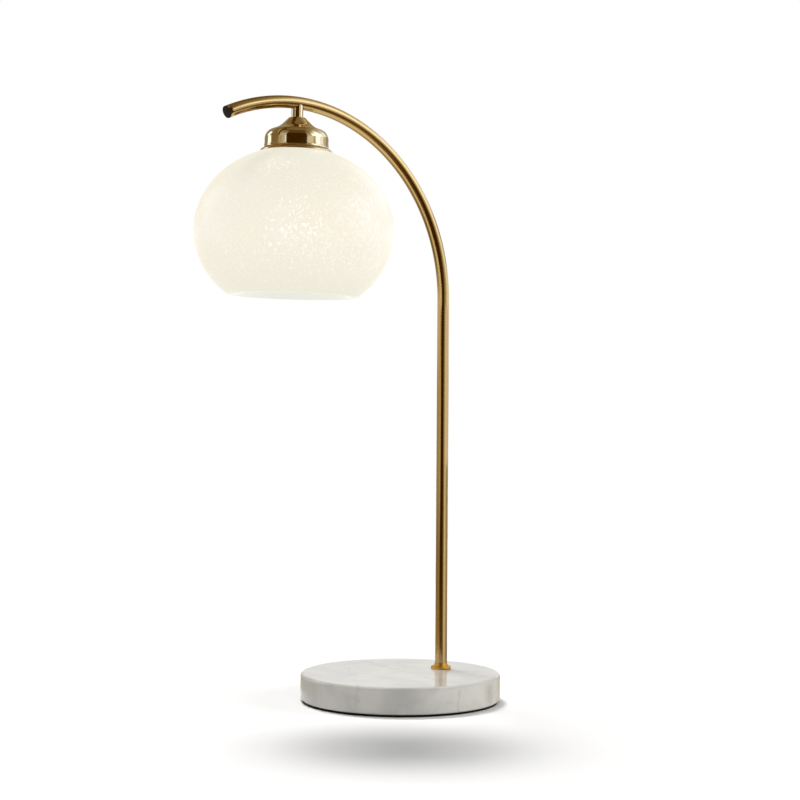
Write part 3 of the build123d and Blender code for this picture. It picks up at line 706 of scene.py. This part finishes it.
# Soft panels that stand round the lamp, as gloss sees them: for each band its axis and its lower
# and upper edge as (radius, height), then its stretches as (the turn where one ends, tone).
# Turns are in degrees from the camera's side, growing to the camera's right, and start at -180.
PANEL_BANDS = {
    "floor_inner": (LAMP_AXIS, (0.09, 0.003), (0.20, 0.003), (
        (-30, SAND), (40, DARK), (180, SAND))),
    "floor_ring": (LAMP_AXIS, (0.20, 0.003), (0.34, 0.003), (
        (-120, SAND), (-30, TAN), (40, DARK), (70, SAND), (180, NIGHT))),
    "floor_outer_ring": (LAMP_AXIS, (0.34, 0.003), (0.60, 0.003), (
        (-125, SAND), (-45, TAN), (-30, BROWN), (30, DARK), (60, BROWN), (180, DARK))),
    "floor_far": (LAMP_AXIS, (0.60, 0.003), (2.2, 0.003), (
        (-125, STONE), (-95, BROWN), (-45, TAN), (45, NIGHT), (75, DARK), (120, BROWN),
        (180, STONE))),
    "wall_low": (LAMP_AXIS, (2.2, 0.003), (2.2, 0.30), (
        (-165, CREAM), (-120, STONE), (-55, SAND), (-45, CREAM), (-35, SAND), (20, NIGHT),
        (45, DARK), (120, TAN), (165, PALE), (180, CREAM))),
    "wall_middle": (LAMP_AXIS, (2.2, 0.30), (2.2, 0.62), (
        (-165, WHITE), (-120, PALE), (-60, CREAM), (-40, SAND), (20, NIGHT), (45, TAN),
        (70, PALE), (165, DAY), (180, WHITE))),
    "wall_cup": (LAMP_AXIS, (2.2, 0.62), (2.2, 1.0), (
        (-120, TAN), (-100, WINDOW), (-65, BROWN), (-50, SAND), (-40, PALE), (-35, DAY),
        (40, NIGHT), (65, CREAM), (75, SAND), (95, WINDOW), (115, DAY), (135, PALE),
        (180, STONE))),
    "wall_high": (LAMP_AXIS, (2.2, 1.0), (2.2, 1.9), (
        (-130, TAN), (-110, WINDOW), (-65, BROWN), (-35, PALE), (40, NIGHT), (60, SAND),
        (110, WINDOW), (165, DAY), (180, TAN))),
    "wall_top": (LAMP_AXIS, (2.2, 1.9), (2.2, 2.5), (
        (-120, TAN), (-70, BROWN), (-35, TAN), (40, DARK), (60, TAN), (75, CREAM),
        (105, WINDOW), (165, CREAM), (180, BROWN))),
    "cove": (LAMP_AXIS, (2.2, 2.5), (1.5, 2.75), (
        (-70, BROWN), (-35, TAN), (40, DARK), (60, BROWN), (80, TAN), (115, WHITE), (160, SAND),
        (180, BROWN))),
    "ceiling_edge": (LAMP_AXIS, (1.5, 2.75), (0.9, 2.85), (
        (60, DARK), (150, TAN), (180, DARK))),
    "ceiling": (LAMP_AXIS, (0.9, 2.85), (0.01, 3.0), (
        (180, BROWN),)),
    "stem_card_low": (STEM_AXIS, (0.14, 0.003), (0.14, 0.19), (
        (20, None), (40, TAN), (65, WHITE), (90, PALE), (130, STONE), (180, None))),
    "stem_card_high": (STEM_AXIS, (0.14, 0.19), (0.14, 0.335), (
        (20, None), (40, STONE), (130, WHITE), (180, None))),
}


def reflector(name, axis, turns, line, tone):
    """One panel that only gloss sees: a line of (radius, height) turned about an upright axis."""
    start, end = (radians(turn) for turn in turns)
    count = max(1, round((end - start) / PANEL_STEP))
    mesh = bpy.data.meshes.new(name)
    facing = CAMERA_TURN - pi / 2
    points = []
    for step in range(count + 1):
        angle = facing + start + (end - start) * step / count
        points += [axis + Vector((radius * cos(angle), radius * sin(angle), height))
                   for radius, height in line]
    faces = [(2 * i, 2 * i + 1, 2 * i + 3, 2 * i + 2) for i in range(count)]
    mesh.from_pydata(points, [], faces)
    panel = bpy.data.objects.new(name, mesh)
    bpy.context.scene.collection.objects.link(panel)
    tree = bare_material(mesh, name)
    light = tree.nodes.new("ShaderNodeEmission")
    light.inputs["Color"].default_value = (*tone, 1.0)
    surface = tree.nodes.new("ShaderNodeOutputMaterial")
    tree.links.new(light.outputs[0], surface.inputs["Surface"])
    for kind in ("camera", "diffuse", "transmission", "volume_scatter", "shadow"):
        setattr(panel, f"visible_{kind}", False)


def set_reflectors():
    """Set up every stretch of every band that has a tone as a panel of its own."""
    for band, (axis, low_edge, high_edge, stretches) in PANEL_BANDS.items():
        start = -180
        for number, (end, tone) in enumerate(stretches):
            if tone is not None:
                reflector(f"{band}_{number}", axis, (start, end), (low_edge, high_edge), tone)
            start = end


def soft_light(name, towards, spread, strength, colour):
    """Wide even light from one side of the sky, kept out of the reflections."""
    light = bpy.data.lights.new(name, "SUN")
    light.angle = radians(spread)
    light.energy = strength
    light.color = colour
    source = bpy.data.objects.new(name, light)
    bpy.context.scene.collection.objects.link(source)
    source.rotation_euler = Vector(towards).to_track_quat("Z", "Y").to_euler()
    source.visible_glossy = False
    source.visible_camera = False


def set_camera():
    camera = bpy.data.objects.new("camera", bpy.data.cameras.new("camera"))
    bpy.context.scene.collection.objects.link(camera)
    camera.location = CAMERA_PLACE
    aim = (Matrix.Rotation(CAMERA_TURN, 3, "Z") @ Matrix.Rotation(pi / 2 - CAMERA_DIP, 3, "X")
           @ Matrix.Rotation(CAMERA_ROLL, 3, "Z"))
    camera.rotation_euler = aim.to_euler()
    camera.data.lens = CAMERA_LENS
    camera.data.sensor_width = SENSOR_WIDTH
    bpy.context.scene.camera = camera


# ---- the lamp ----
set_camera()
paint_frame()
dress(bent_stem(), "lamp", "brushed_brass", "stem_tube")
dress(opal_globe(), "lamp", "opal_glass", "glass_globe")

set_world(SKY_FILL)
pale_floor(FLOOR_RADIUS, FLOOR_SHADE)
set_reflectors()
for light_name, light_settings in LIGHTS.items():
    soft_light(light_name, *light_settings)
bpy.context.scene.view_settings.view_transform = "Standard"
